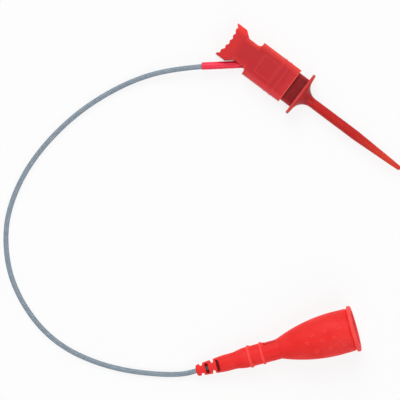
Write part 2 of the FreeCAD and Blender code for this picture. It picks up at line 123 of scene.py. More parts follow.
def zonedNylon(name, skin, look, **shaderInputs):
    # moulded nylon whose colour changes with its thickness and, in some zones, with painted light
    # and
    # shade: the base colour, then each zone's colour laid over it by its share where the zone's
    # smooth steps, in mm, are all up
    material, add, shader = newMaterial(name, **shaderInputs)
    place = mouldSkin(material, add, shader, *skin)
    split = {axis: add("ShaderNodeSeparateXYZ", {"Vector": place}, out=axis) for axis in "XY"}
    split["across"] = add("ShaderNodeMath", {0: split["Y"]}, operation="ABSOLUTE")
    colour = srgb(look["base"])
    for hexColour, share, *steps in look["zones"]:
        amount = share
        for axis, low, high in steps:
            rise = add("ShaderNodeMapRange", {"Value": split[axis], "From Min": low * mm,
                                              "From Max": high * mm},
                       interpolation_type="SMOOTHSTEP")
            amount = add("ShaderNodeMath", {0: rise, 1: amount}, operation="MULTIPLY")
        colour = add("ShaderNodeMix", {0: amount, 6: colour, 7: srgb(hexColour)}, out=2,
                     data_type="RGBA")
    material.node_tree.links.new(colour, shader.inputs["Base Color"])
    return material


# satin unfilled nylon: deep in the thick middle, a painted glow at its thin edges and crown;
# painted highlights on the front lip, the two ribs and the rounded long edges, and painted light
# that makes the upper sides lighter than the lower; the latch grooves inside show through as a
# faint frame
sleeveLook = {"base": "#C02429", "zones": (
    # painted glow at the thin crown and the barrel's front
    ("#D62A2A", 1.0, ("X", -22.5, -26.8)),
    ("#C92B30", 1.0, ("X", -10.4, -8.6)),
    # painted highlight on the two ribs
    ("#CB2F36", 0.7, ("X", -13.0, -12.8), ("X", -12.1, -12.3)),
    ("#CB2F36", 0.7, ("X", -11.3, -11.1), ("X", -10.4, -10.6)),
    ("#D03A3E", 0.6, ("X", -17.9, -17.6), ("X", -12.9, -13.1), ("across", 2.75, 2.5)),
    ("#C02429", 1.0, ("X", -17.6, -17.3), ("X", -13.1, -13.3), ("across", 2.5, 2.25)),
    # painted highlights on the barrel's rounded upper and lower edges
    ("#F2463C", 0.8, ("X", -20.3, -19.5), ("Y", 2.7, 4.9)),
    ("#E8484C", 0.8, ("X", -20.3, -19.5), ("Y", -3.2, -4.9)),
    # painted light: the neck's and crown's upper sides lighter than their lower sides
    ("#EE3E34", 0.9, ("X", -24.6, -23.6), ("X", -19.4, -20.2), ("Y", 1.9, 3.4)),
    ("#DA3632", 0.8, ("X", -24.6, -23.6), ("X", -19.4, -20.2), ("Y", -1.9, -3.4)),
    ("#F83C36", 0.9, ("X", -23.8, -24.8), ("Y", 2.4, 4.6)),
    # painted highlight on the front lip
    ("#F25A50", 0.8, ("X", -8.1, -7.85)),
)}
# the stem's long edges lighter: a painted highlight along them
stemLook = {"base": "#840F15", "zones": (("#B02A30", 1.0, ("across", 3.2, 4.2)),)}
# dull and deep at the flare, a painted shade in its concave sweep; warmer towards the thin tip;
# the flange's ends are dark
noseLook = {"base": "#D2403A", "zones": (
    # the flare darkest, a painted shade; the tube a little less deep
    ("#A8181C", 1.0, ("X", -4.5, -3.7)), ("#C01B16", 1.0, ("X", -2.4, 0.4)),
    ("#D83824", 1.0, ("X", 12.0, 25.0)),
    ("#D83E38", 0.6, ("X", -3.2, -3.9), ("across", 3.0, 5.6)),
    ("#7A1416", 0.8, ("X", -3.2, -3.9), ("across", 5.7, 6.1)),
)}


# how fast the attribute of painted light and shade brings in the painted highlight colour as it
# grows and the painted shade colour as it falls
paintedLightSlopes = (1.0, -2.5)


def mottled(name, hexColours, blotchMm, skin, relief=None, **shaderInputs):
    # a plain moulded or extruded plastic: two near colours in soft blotches; the piece's own
    # attribute of painted light and shade brings in the first relief colour, a painted highlight,
    # above 0 and the second, a painted shade, below
    material, add, shader = newMaterial(name, **shaderInputs)
    place = mouldSkin(material, add, shader, *skin)
    blotch = add("ShaderNodeTexNoise", {"Vector": place, "Scale": 1 / (blotchMm * mm),
                                        "Detail": 1.0})
    amount = add("ShaderNodeMapRange", {"Value": blotch, "From Min": 0.35, "From Max": 0.65})
    colour = add("ShaderNodeMix", {0: amount, 6: srgb(hexColours[0]), 7: srgb(hexColours[1])},
                 out=2, data_type="RGBA")
    if relief:
        height = add("ShaderNodeAttribute", out="Fac", attribute_name="paintedLightAndShade")
        for hexColour, slope in zip(relief, paintedLightSlopes):
            amount = add("ShaderNodeMath", {0: height, 1: slope}, operation="MULTIPLY")
            colour = add("ShaderNodeMix", {0: amount, 6: colour, 7: srgb(hexColour)}, out=2,
                         data_type="RGBA")
    material.node_tree.links.new(colour, shader.inputs["Base Color"])
    return material


# filaments side by side in a strand 0.39 mm wide, and how deep the furrows between them are; the
# valley colour is a painted shade between the strands
yarnLook = {"filaments": 5, "furrow": 0.008, "cloud": 1.1, "paintedValleyShade": "#525E68",
            "families": (("#7B8C9B", "#8697A6"), ("#99A9B6", "#AAB7C2"))}


def braidedYarn():
    # polyester yarn braided over the lead; strand gives each family's place across its strands,
    # family tells which one lies on top and crown how high it stands; low crown brings in the
    # valley colour, a painted shade between the strands and inside the boot
    material, add, shader = newMaterial("braidedPolyester", IOR=1.56, Roughness=0.6,
                                        Sheen_Weight=0.1, Sheen_Roughness=0.4)
    uv = add("ShaderNodeUVMap", uv_map="strand")
    family = add("ShaderNodeAttribute", out="Fac", attribute_name="family")
    crown = add("ShaderNodeAttribute", out="Fac", attribute_name="crown")
    ridges = []
    for side in ("X", "Y"):
        across = add("ShaderNodeSeparateXYZ", {"Vector": uv}, out=side)
        turn = add("ShaderNodeMath", {0: across, 1: 2 * math.pi * yarnLook["filaments"]},
                   operation="MULTIPLY")
        ridges.append(add("ShaderNodeMath", {0: turn}, operation="SINE"))
    ridge = add("ShaderNodeMix", {0: family, 2: ridges[1], 3: ridges[0]})
    bump = add("ShaderNodeBump", {"Height": ridge, "Distance": yarnLook["furrow"] * mm})
    place = add("ShaderNodeTexCoord", out="Object")
    cloud = add("ShaderNodeTexNoise", {"Vector": place, "Scale": 1 / (yarnLook["cloud"] * mm),
                                       "Detail": 3.0})
    fleck = add("ShaderNodeMapRange", {"Value": cloud, "From Min": 0.35, "From Max": 0.65})
    yarns = [add("ShaderNodeMix", {0: fleck, 6: srgb(dark), 7: srgb(light)}, out=2,
                 data_type="RGBA")
             for dark, light in yarnLook["families"]]
    yarn = add("ShaderNodeMix", {0: family, 6: yarns[0], 7: yarns[1]}, out=2, data_type="RGBA")
    # painted shade: the yarn darkens towards the valley colour where crown is low
    shade = add("ShaderNodeMapRange", {"Value": crown, "From Min": 0.0, "From Max": 0.75})
    yarn = add("ShaderNodeMix", {0: shade, 6: srgb(yarnLook["paintedValleyShade"]), 7: yarn}, out=2,
               data_type="RGBA")
    material.node_tree.links.new(yarn, shader.inputs["Base Color"])
    material.node_tree.links.new(bump, shader.inputs["Normal"])
    return material


# the metals' clouds and grain in mm, and how far the clouds shift the roughness
metalSkin = {"cloud": 0.8, "glossier": 0.05, "duller": 0.08, "grain": 0.12, "depth": 0.003}


def drawnMetal(name, hexColours, roughness):
    # bright metal, drawn or plated, with faint tarnish clouds and a fine grain
    s = metalSkin
    material, add, shader = newMaterial(name, Metallic=1.0)
    place = add("ShaderNodeTexCoord", out="Object")
    cloud = add("ShaderNodeTexNoise", {"Vector": place, "Scale": 1 / (s["cloud"] * mm),
                                       "Detail": 3.0})
    tarnish = add("ShaderNodeMapRange", {"Value": cloud, "From Min": 0.4, "From Max": 0.75})
    colour = add("ShaderNodeMix", {0: tarnish, 6: srgb(hexColours[0]), 7: srgb(hexColours[1])},
                 out=2, data_type="RGBA")
    shine = add("ShaderNodeMapRange", {"Value": cloud, "From Min": 0.3, "From Max": 0.7,
                                       "To Min": roughness - s["glossier"],
                                       "To Max": roughness + s["duller"]})
    fine = add("ShaderNodeTexNoise", {"Vector": place, "Scale": 1 / (s["grain"] * mm)})
    bump = add("ShaderNodeBump", {"Height": fine, "Distance": s["depth"] * mm})
    for value, socket in ((colour, "Base Color"), (shine, "Roughness"), (bump, "Normal")):
        material.node_tree.links.new(value, shader.inputs[socket])
    return material


nylon = {"IOR": 1.53, "Specular_IOR_Level": 0.28, "Subsurface_Weight": 0.15,
         "Subsurface_Scale": 0.0008, "Subsurface_Radius": (1.0, 0.2, 0.2)}
looks = {
    "sleeve": zonedNylon("mouldedNylonSleeve", (0.35, 0.016, 0.42), sleeveLook, **nylon),
    "stem": zonedNylon("mouldedNylonStem", (0.35, 0.016, 0.4), stemLook, **nylon),
    "nose": zonedNylon("mouldedNylonNose", (0.3, 0.014, 0.45), noseLook, **nylon),
    "yarn": braidedYarn(),
    # polyolefin heat-shrink: thin pinkish film with a soft gloss
    "film": mottled("polyolefinShrink", ("#FA2648", "#EC1C3E"), 1.6, (0.5, 0.015, 0.36),
                    IOR=1.5, Specular_IOR_Level=0.4),
    # plasticised vinyl, moulded soft: bright red and even, a waxy satin, with painted highlights
    # on the raised parts and painted shade deep in the pockets
    "boot": mottled("softVinylBoot", ("#EC2725", "#F0312E"), 5.0, (0.28, 0.014, 0.56),
                    # relief colours: the painted highlight, then the painted shade
                    relief=("#FF4A46", "#8E120D"), IOR=1.5, Specular_IOR_Level=0.2),
    # rigid red nylon of the socket's insert, a shade deeper than the boot
    "insulator": mottled("mouldedNylonInsulator", ("#DC1E1E", "#E22424"), 3.0,
                         (0.3, 0.014, 0.5), IOR=1.53, Specular_IOR_Level=0.2),
    "steel": drawnMetal("springSteelHook", ("#C9C8C4", "#A9A8A4"), 0.25),
    "spring": drawnMetal("springSteelCoil", ("#B9B9B7", "#8F8F8D"), 0.3),
    "tinned": drawnMetal("tinnedBrass", ("#CFCBBE", "#A8A498"), 0.38),
    "copper": drawnMetal("strandedCopper", ("#D08A62", "#9C6244"), 0.35),
    "gold": drawnMetal("goldPlatedBrass", ("#E0B968", "#B98F45"), 0.28),
}
for name, look in (("hook_wire", "steel"), ("splice_ferrule", "tinned"),
                   ("clip_end_conductor", "copper"), ("socket_contact", "gold"),
                   ("boot_end_conductor", "copper"), ("jacket_ferrule", "tinned")):
    nodes[name].data.materials.clear()
    nodes[name].data.materials.append(looks[look])
print("materials made")


def gridMesh(name, points, closedAlong=False):
    # points[i, j] is ring i, column j; quads join each ring to the next, going on round it;
    # where the last ring doesn't join the first, both ends are closed by fans
    rings, columns, _ = points.shape
    i, j = np.meshgrid(np.arange(rings if closedAlong else rings - 1), np.arange(columns),
                       indexing="ij")
    nextI, nextJ = (i + 1) % rings, (j + 1) % columns
    quads = np.stack([i * columns + j, i * columns + nextJ,
                      nextI * columns + nextJ, nextI * columns + j], -1).reshape(-1, 4)
    vertices, faces = points.reshape(-1, 3), quads.tolist()
    if not closedAlong:
        first, start = len(vertices), (rings - 1) * columns
        vertices = np.vstack([vertices, points[0].mean(0), points[-1].mean(0)])
        ring = np.arange(columns)
        following = (ring + 1) % columns
        faces += np.stack([np.full(columns, first), following, ring], -1).tolist()
        faces += np.stack([np.full(columns, first + 1), start + ring,
                           start + following], -1).tolist()
    mesh = bpy.data.meshes.new(name)
    mesh.from_pydata(vertices.tolist(), [], faces)
    mesh.shade_smooth()
    return mesh


def addPiece(name, mesh):
    piece = bpy.data.objects.new(name, mesh)
    bpy.context.scene.collection.objects.link(piece)
    return piece


def finishPiece(piece, look, node, body=None, sharpAngle=None):
    piece.data.materials.clear()
    piece.data.materials.append(looks[look])
    if sharpAngle:
        piece.data.set_sharp_from_angle(angle=math.radians(sharpAngle))
    if body:
        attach(piece, body)
    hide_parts(node)
    return piece


def smoothStep(value):
    # 0 below 0, 1 above 1, an S between
    value = np.clip(value, 0, 1)
    return value ** 2 * (3 - 2 * value)


# the lead's route, from the splice in the clip to the inside of the boot
leadRoute = [
    (-23.40, -4.80, 2.58), (-33.20, -12.88, 2.58), (-41.60, -23.00, 0.75),
    (-47.70, -37.00, 0.68), (-50.10, -51.30, 0.68), (-49.20, -63.90, 0.68),
    (-44.70, -75.40, 0.68), (-34.20, -85.70, 0.68), (-18.10, -90.90, 0.68),
    (-1.60, -87.60, 0.70), (13.90, -78.51, 0.78), (18.63, -72.37, 1.70),
    (22.14, -67.82, 2.37),
]
# a braid of eight strands each way, 43 degrees to the lead; the last stretch, inside the boot,
# has painted shade
leadShape = {"radius": 0.68, "relief": 0.06, "strands": 8, "layPitch": 4.6, "crest": 0.6,
             "weave": 0.4, "blend": 0.3, "ringStep": 0.12, "around": 64, "shaded": 7.6,
             "shade": 0.95}


def routeLine():
    # the smooth line of the lead, read from the spline that its route's points steer
    curve = bpy.data.curves.new("leadRoute", "CURVE")
    curve.dimensions = "3D"
    curve.resolution_u = 40
    spline = curve.splines.new("NURBS")
    spline.points.add(len(leadRoute) - 1)
    for point, place in zip(spline.points, leadRoute):
        point.co = (*[value * mm for value in place], 1)
    spline.order_u = 3
    spline.use_endpoint_u = True
    holder = addPiece("leadRoute", curve)
    bpy.context.view_layer.update()
    mesh = bpy.data.meshes.new_from_object(holder)
    line = np.empty(len(mesh.vertices) * 3)
    mesh.vertices.foreach_get("co", line)
    bpy.data.objects.remove(holder)
    bpy.data.meshes.remove(mesh)
    return line.reshape(-1, 3)


def evenly(line, step):
    # the same line in equal steps, and each point's distance along it
    far = np.concatenate([[0], np.cumsum(np.linalg.norm(np.diff(line, axis=0), axis=1))])
    along = np.linspace(0, far[-1], int(round(far[-1] / step)) + 1)
    return np.stack([np.interp(along, far, line[:, k]) for k in range(3)], -1), along


def tubeAlong(line, radius, angle):
    # each ring lies across the line: first way level to its left, second square to both
    tangent = np.gradient(line, axis=0)
    tangent /= np.linalg.norm(tangent, axis=1, keepdims=True)
    left = np.cross([0, 0, 1], tangent)
    left /= np.linalg.norm(left, axis=1, keepdims=True)
    over = np.cross(tangent, left)
    return line[:, None, :] + radius[..., None] * (
        np.cos(angle)[None, :, None] * left[:, None, :]
        + np.sin(angle)[None, :, None] * over[:, None, :])


def makeLead():
    # a and b count the strands of the two families: turns round the lead plus, or minus, turns
    # along it. A strand's height is crest times 1 - (distance from its middle)^2, and weave
    # times sin(pi a) sin(pi b) lifts one family over the other; the surface follows whichever
    # is higher. The yarn is darker along the stretch inside the boot, a painted shade.
    s = leadShape
    line, along = evenly(routeLine(), s["ringStep"] * mm)
    turns = np.arange(s["around"] + 1) / s["around"]
    twist = along[:, None] / (s["layPitch"] * mm)
    a, b = s["strands"] * (turns + twist), s["strands"] * (turns - twist)
    weave = s["weave"] * np.sin(math.pi * a) * np.sin(math.pi * b)
    heights = [s["crest"] * (1 - (2 * (value % 1) - 1) ** 2) + sign * weave
               for value, sign in ((a, 1), (b, -1))]
    crown = np.maximum(*heights)
    family = smoothStep(0.5 + (heights[0] - heights[1]) / s["blend"])
    radius = (s["radius"] - s["relief"] * (1 - crown)) * mm
    points = tubeAlong(line, radius[:, :-1], 2 * math.pi * turns[:-1])
    piece = addPiece("leadBraided", gridMesh("leadBraided", points))
    # painted shade inside the boot: crown is lowered there, darkening the yarn
    inBoot = smoothStep((along[:, None] - along[-1]) / mm + s["shaded"])
    crown *= 1 - s["shade"] * inBoot
    columns = s["around"]
    for name, values in (("family", family), ("crown", crown)):
        layer = piece.data.attributes.new(name, "FLOAT", "POINT")
        layer.data.foreach_set("value", np.append(values[:, :-1].ravel(), [0.5, 0.5]))
    corner = np.empty(len(piece.data.loops), np.int32)
    piece.data.loops.foreach_get("vertex_index", corner)
    ring, column = np.minimum(corner // columns, len(line) - 1), corner % columns
    # a quad that closes the round takes the values one whole turn on
    order = np.arange(len(corner))
    closing = (order // 4 % columns == columns - 1) & (column == 0)
    column[closing & (order < (len(line) - 1) * columns * 4)] = columns
    uv = np.stack([a[ring, column], b[ring, column]], -1)
    piece.data.uv_layers.new(name="strand").data.foreach_set("uv", uv.ravel())
    return finishPiece(piece, "yarn", "lead", "grip"), line


lead, leadLine = makeLead()
print("lead made, %.1f mm long" % (np.linalg.norm(np.diff(leadLine, axis=0), axis=1).sum() / mm))


# the boot's sizes run along its own axis from the tail's end
bootShape = {
    "tail": (17.41, -73.95, 1.46032), "heading": 52.36, "tilt": 6.73616, "length": 43.0,
    "bore": 0.69, "tailRadius": 1.5, "tailEdge": 0.4, "taperEnd": 7.7, "waist": 2.17,
    "waistEnd": 10.3, "collarStart": 13.1, "collar": 2.67,
    "rings": ((14.5, 0.95, 0.3), (17.85, 0.9, 0.27)),
    "bellStart": 22.5, "bellEnd": 38.0, "bell": 5.67, "wall": 0.9, "rimNeck": 5.57,
    "rim": 6.08, "rimWidth": 1.05, "rimGroove": 0.2, "edge": 0.38, "lip": 0.2,
    "collarEase": 0.4, "ringEase": 4, "grooveBack": 0.5, "grooveEase": 0.4,
    "shoulder": 26.2, "chamber": 1.75, "chamberStart": 12.6, "ferrule": 1.35,
    "ferruleStart": 6.1, "columns": 192, "crowding": 0.35,
    # how finely the outside is drawn: from, to, step
    "spans": ((0.45, 6.6, 0.06), (6.6, 13.9, 0.2), (13.9, 15.1, 0.04), (15.1, 17.25, 0.2),
              (17.25, 18.45, 0.04), (18.45, 22.5, 0.1), (22.5, 28.5, 0.24),
              (28.5, 40.0, 0.14), (40.0, 41.95, 0.1)),
}
# the tail's slots, side notches and top pockets in turn, and the window in the collar; a
# pocket's lip is eased where the surface stands higher than lipShare of its distance sideways
bootCuts = {"slots": 4, "slotWidth": 0.8, "first": 1.43, "pitch": 1.51, "sideFlat": 0.95,
            "wallRun": 0.22, "topFlat": {1: 0.35, 3: 0.78}, "deepEnd": 6.05, "frontFlat": 1.45,
            "topSpine": 0.45, "lipDrop": 0.12, "lipRun": 0.2, "lipShare": 0.6, "reach": 3.2,
            "windowStart": 18.88, "windowLength": 3.04, "windowHeight": 3.2, "windowIn": 1.02,
            "windowReach": 3.6}
# raised oval grip pips with a dimple, on the bell's upper side: place along, place across
bootPips = {"places": ((31.8, 1.45), (35.3, 1.55), (39.1, 1.5), (30.2, -0.3), (34.1, -0.55),
                       (37.4, -0.65), (32.0, -2.8), (35.7, -2.95), (39.4, -2.9)),
            # how strongly the pips are painted paler, a painted highlight
            "length": 1.4, "width": 1.15, "height": 0.22, "dimple": 0.17, "paintedHighlight": 0.42}
# the parting line stops short of the tail's end and the mouth
partingLine = {"height": 0.04, "halfWidth": 0.2, "fromTail": 0.6, "fromMouth": 1.5}
# painted shade in the groove before the rim, and a painted highlight on the rim: how much, from
# where before the rim, over what
grooveShade = {"depth": 0.1, "before": 1.3, "run": 0.8, "rimRun": 0.3}


def bootAxes():
    heading, tilt = math.radians(bootShape["heading"]), math.radians(bootShape["tilt"])
    x = np.array([math.cos(heading) * math.cos(tilt), math.sin(heading) * math.cos(tilt),
                  math.sin(tilt)])
    y = np.array([-math.sin(heading), math.cos(heading), 0])
    return np.stack([x, y, np.cross(x, y)])


def placeOnBoot(points):
    # from the boot's own millimetres to the frame's metres
    return (points @ bootAxes() + np.array(bootShape["tail"])) * mm


def run(u0, r0, u1, r1, step):
    # points on a straight stretch of a profile, its first end left out
    count = max(1, int(round(math.hypot(u1 - u0, r1 - r0) / step)))
    share = np.arange(1, count + 1) / count
    return np.stack([u0 + (u1 - u0) * share, r0 + (r1 - r0) * share], -1)


def bend(u, r, radius, start, end, count=6):
    # points on an arc about (u, r), angles in degrees, its first end left out
    angle = np.radians(start + (end - start) * np.arange(1, count + 1) / count)
    return np.stack([u + radius * np.cos(angle), r + radius * np.sin(angle)], -1)


def bellRadius(u, offset):
    # circle through the bell's two ends that runs level at its mouth end
    s = bootShape
    rise, length = s["bell"] - s["collar"], s["bellEnd"] - s["bellStart"]
    radius = (length ** 2 + rise ** 2) / (2 * rise)
    return s["bell"] - radius + np.sqrt((radius - offset) ** 2 - (s["bellEnd"] - u) ** 2)


def onRing(u, centre, width):
    # 1 over a ring's middle half, falling to 0 at its sides
    return smoothStep(2 - np.abs(u - centre) / (width / bootShape["ringEase"]))


def outsideRadius(u):
    # tail taper, waist, collar, rings with rounded shoulders, bell, and the groove at the rim
    s = bootShape
    taper = np.clip((u - s["tailEdge"]) / (s["taperEnd"] - s["tailEdge"]), 0, 1)
    ease = s["collarEase"]
    flare = smoothStep((u - s["waistEnd"] + ease) / (s["collarStart"] - s["waistEnd"] + 2 * ease))
    radius = (s["tailRadius"] + (s["waist"] - s["tailRadius"]) * taper
              + (s["collar"] - s["waist"]) * flare)
    for centre, width, height in s["rings"]:
        radius = radius + height * onRing(u, centre, width)
    rimStart = s["length"] - s["rimWidth"]
    bell = bellRadius(np.clip(u, s["bellStart"], s["bellEnd"]), 0)
    fall = np.clip((u - s["bellEnd"]) / (rimStart - s["bellEnd"]), 0, 1)
    bell = bell + (s["rimNeck"] - s["bell"]) * fall
    bell = bell - s["rimGroove"] * smoothStep((u - rimStart + s["grooveBack"]) / s["grooveEase"])
    return np.where(u < s["bellStart"], radius, bell)


def bootProfile():
    # closed outline (along, radius): out over the tail, forward outside, back inside
    s = bootShape
    e, length, rimStart = s["edge"], s["length"], s["length"] - s["rimWidth"]
    mouth, tailEdge = s["bell"] - s["wall"], s["tailEdge"]
    u = np.concatenate([np.arange(low, high - step / 2, step) for low, high, step in s["spans"]])
    groove = float(outsideRadius(np.array(rimStart)))
    outer = [np.array([[0, s["bore"]]]),
             run(0, s["bore"], 0, s["tailRadius"] - tailEdge, 0.2),
             bend(tailEdge, s["tailRadius"] - tailEdge, tailEdge, 180, 90, 8),
             np.stack([u, outsideRadius(u)], -1),
             run(rimStart - 0.05, groove, rimStart, groove, 0.1),
             run(rimStart, groove, rimStart, s["rim"] - e, 0.1),
             bend(rimStart + e, s["rim"] - e, e, 180, 90),
             run(rimStart + e, s["rim"], length - e, s["rim"], 0.2),
             bend(length - e, s["rim"] - e, e, 90, 0),
             run(length, s["rim"] - e, length, mouth + s["lip"], 0.3),
             bend(length - s["lip"], mouth + s["lip"], s["lip"], 0, -90, 4)]
    u = np.linspace(s["bellEnd"], s["shoulder"], 24)
    seat = float(bellRadius(s["shoulder"], s["wall"]))
    inner = [run(length - s["lip"], mouth, s["bellEnd"], mouth, 0.6)[:-1],
             np.stack([u, bellRadius(u, s["wall"])], -1),
             run(s["shoulder"], seat, s["shoulder"], s["chamber"], 0.4),
             run(s["shoulder"], s["chamber"], s["chamberStart"], s["chamber"], 2.0),
             run(s["chamberStart"], s["chamber"], s["chamberStart"], s["ferrule"], 0.4),
             run(s["chamberStart"], s["ferrule"], s["ferruleStart"], s["ferrule"], 2.0),
             run(s["ferruleStart"], s["ferrule"], s["ferruleStart"], s["bore"], 0.4),
             run(s["ferruleStart"], s["bore"], 0, s["bore"], 0.6)[:-1]]
    return np.vstack(outer), np.vstack(inner)


def slotPlaces():
    # each slot's middle, and the half width that leaves a spine beside a top or bottom pocket
    for i in range(bootCuts["slots"]):
        middle = bootCuts["first"] + i * bootCuts["pitch"]
        yield i, middle, float(outsideRadius(np.array(middle))) - bootCuts["topSpine"]


def shapedRadius(u, r, angle):
    # the turned radius, notched to flats at the tail's sides, eased down at the rims of the
    # pockets and the window, and raised at the pips and along the mould's parting line
    c, side, height = bootCuts, r * np.cos(angle), r * np.sin(angle)
    for i, middle, half in slotPlaces():
        away = np.abs(u - middle) - c["slotWidth"] / 2
        if i % 2:
            rim = np.maximum(away, np.abs(side) - half) / c["lipRun"]
            r = r - np.where(np.abs(height) > c["lipShare"] * np.abs(side),
                             c["lipDrop"] * np.clip(1 - rim, 0, 1) ** 2, 0)
        else:
            flat = np.minimum(r, c["sideFlat"] / np.maximum(np.abs(np.cos(angle)), 0.01))
            r = r + (flat - r) * smoothStep(0.5 - away / c["wallRun"])
    fromMiddle = np.abs(u - c["windowStart"] - c["windowLength"] / 2) - c["windowLength"] / 2
    rim = np.maximum(fromMiddle, np.abs(height) - c["windowHeight"] / 2) / c["lipRun"]
    r = r - np.where(side > c["windowIn"], c["lipDrop"] * np.clip(1 - rim, 0, 1) ** 2, 0)
    lift = np.zeros_like(r)
    for along, across in bootPips["places"]:
        away = ((u - along) / (bootPips["length"] / 2)) ** 2
        away = away + ((side - across) / (bootPips["width"] / 2)) ** 2
        dome = (bootPips["height"] * np.sqrt(np.clip(1 - away, 0, 1))
                - bootPips["dimple"] * np.clip(1 - 4 * away, 0, 1))
        lift = np.where((height > 0) & (away < 1), dome, lift)
    seam = partingLine["height"] * np.clip(1 - np.abs(height) / partingLine["halfWidth"], 0, 1)
    marked = ((u > partingLine["fromTail"])
              & (u < bootShape["length"] - partingLine["fromMouth"]))
    return r + np.where(marked, np.maximum(lift, seam), 0), lift / bootPips["height"]


def setPaintedLightAndShade(mesh, paintedLightAndShade):
    # painted light and shade, kept at the faces' corners, so that a cut gives its own faces the
    # cutter's value
    corner = np.empty(len(mesh.loops), np.int32)
    mesh.loops.foreach_get("vertex_index", corner)
    layer = mesh.attributes.new("paintedLightAndShade", "FLOAT", "CORNER")
    layer.data.foreach_set("value", paintedLightAndShade[corner])


def makeBoot():
    # columns stand closer together on top, where the pips are; the attribute of painted light and
    # shade is 1 on the rim and the rings' crests and follows the pips, painted highlights, and
    # falls below 0 in the groove before the rim, painted shade
    s, g = bootShape, grooveShade
    outer, inner = bootProfile()
    even = np.linspace(0, 2 * math.pi, s["columns"], endpoint=False)
    profile = np.vstack([outer, inner])
    u, r = [np.repeat(profile[:, k:k + 1], len(even), 1) for k in (0, 1)]
    crowded = even - s["crowding"] * np.sin(even - math.pi / 2)
    angle = np.repeat(crowded[None, :], len(u), 0)
    outside = np.arange(len(profile))[:, None] < len(outer)
    rimStart = s["length"] - s["rimWidth"]
    shaped, lift = shapedRadius(u, r, angle)
    free = outside & (u > 0) & (u < rimStart)
    r = np.where(free, shaped, r)
    paintedLightAndShade = np.where(free, bootPips["paintedHighlight"] * np.clip(lift, 0, 1)
                      - g["depth"] * smoothStep((u - rimStart + g["before"]) / g["run"]), 0)
    for centre, width, _ in s["rings"]:
        paintedLightAndShade = np.maximum(paintedLightAndShade, onRing(u, centre, width))
    paintedLightAndShade = np.where(outside, np.maximum(paintedLightAndShade, smoothStep((u - rimStart) / g["rimRun"])), 0)
    points = placeOnBoot(np.stack([u, r * np.cos(angle), r * np.sin(angle)], -1))
    piece = addPiece("bootMoulded", gridMesh("bootMoulded", points, closedAlong=True))
    setPaintedLightAndShade(piece.data, paintedLightAndShade.ravel())
    for cutter in bootCutters():
        cutAway(piece, cutter)
    return finishPiece(piece, "boot", "boot", "grip", sharpAngle=60)


def blockMesh(name, blocks, place):
    # plain blocks from their low and high corners, used only to cut
    corners = np.array([[i, j, k] for i in (0, 1) for j in (0, 1) for k in (0, 1)])
    sides = np.array([(0, 1, 3, 2), (4, 6, 7, 5), (0, 4, 5, 1), (2, 3, 7, 6), (0, 2, 6, 4),
                      (1, 5, 7, 3)])
    low, high = np.array(blocks, float)[:, 0, None], np.array(blocks, float)[:, 1, None]
    vertices = place((low + corners * (high - low)).reshape(-1, 3))
    faces = (sides[None] + 8 * np.arange(len(blocks))[:, None, None]).reshape(-1, 4)
    mesh = bpy.data.meshes.new(name)
    mesh.from_pydata(vertices.tolist(), [], faces.tolist())
    return mesh


def bootCutters():
    # the window and the deep pockets, then the second pocket's front, shallow over the ferrule;
    # the attribute of painted light and shade is -1 on what they cut, painted shade deep in them
    c, reach = bootCuts, bootCuts["reach"]
    deep = [((c["windowStart"], c["windowIn"], -c["windowHeight"] / 2),
             (c["windowStart"] + c["windowLength"], c["windowReach"], c["windowHeight"] / 2))]
    front = []
    for i, middle, half in slotPlaces():
        left, right = middle - c["slotWidth"] / 2, middle + c["slotWidth"] / 2
        cuts = [(deep, min(right, c["deepEnd"]), c["topFlat"][i])] if i % 2 else []
        cuts += [(front, right, c["frontFlat"])] if i % 2 and right > c["deepEnd"] else []
        for blocks, end, flat in cuts:
            blocks += [((left, -half, flat), (end, half, reach)),
                       ((left, -half, -reach), (end, half, -flat))]
    cutters = [blockMesh("bootCutters", blocks, placeOnBoot) for blocks in (deep, front)]
    for cutter in cutters:
        setPaintedLightAndShade(cutter, np.full(len(cutter.vertices), -1.0))
    return cutters


# how near two vertices are when they become one, after a cut and in a copy of a CAD mesh
mergeAt = {"cut": 0.001, "copy": 0.002}


def mergedMesh(mesh, nearMm, flatDegrees=None):
    # vertices that stand closer than that made one, and flats joined where asked
    shell = bmesh.new()
    shell.from_mesh(mesh)
    bmesh.ops.remove_doubles(shell, verts=shell.verts, dist=nearMm * mm)
    if flatDegrees:
        bmesh.ops.dissolve_limit(shell, angle_limit=math.radians(flatDegrees),
                                 verts=shell.verts, edges=shell.edges)
    shell.to_mesh(mesh)
    shell.free()
    return mesh


def cutAway(piece, cutterMesh):
    cutter = addPiece("cutter", cutterMesh)
    cut = piece.modifiers.new("cut", "BOOLEAN")
    cut.operation, cut.object, cut.solver = "DIFFERENCE", cutter, "EXACT"
    bpy.context.view_layer.update()
    evaluated = piece.evaluated_get(bpy.context.evaluated_depsgraph_get())
    mesh = bpy.data.meshes.new_from_object(evaluated)
    piece.modifiers.clear()
    piece.data = mergedMesh(mesh, mergeAt["cut"])
    bpy.data.objects.remove(cutter)


boot = makeBoot()
print("boot made, %d faces" % len(boot.data.polygons))


# heat-shrink over the lead's joint, along the line of the lead's exit
shrinkShape = {"exit": (-21.70, -3.40, 2.58), "way": (-0.7716246, -0.6360782, 0), "start": -2.3,
               "length": 12.1, "radius": 1.0, "bore": 0.70, "edge": 0.12, "step": 0.15,
               "around": 48, "wave": 0.02,
               # radians per mm along, then the long waves' skew and the short ones' turns
               "long": (2.1, 2), "short": (5.3, 2)}


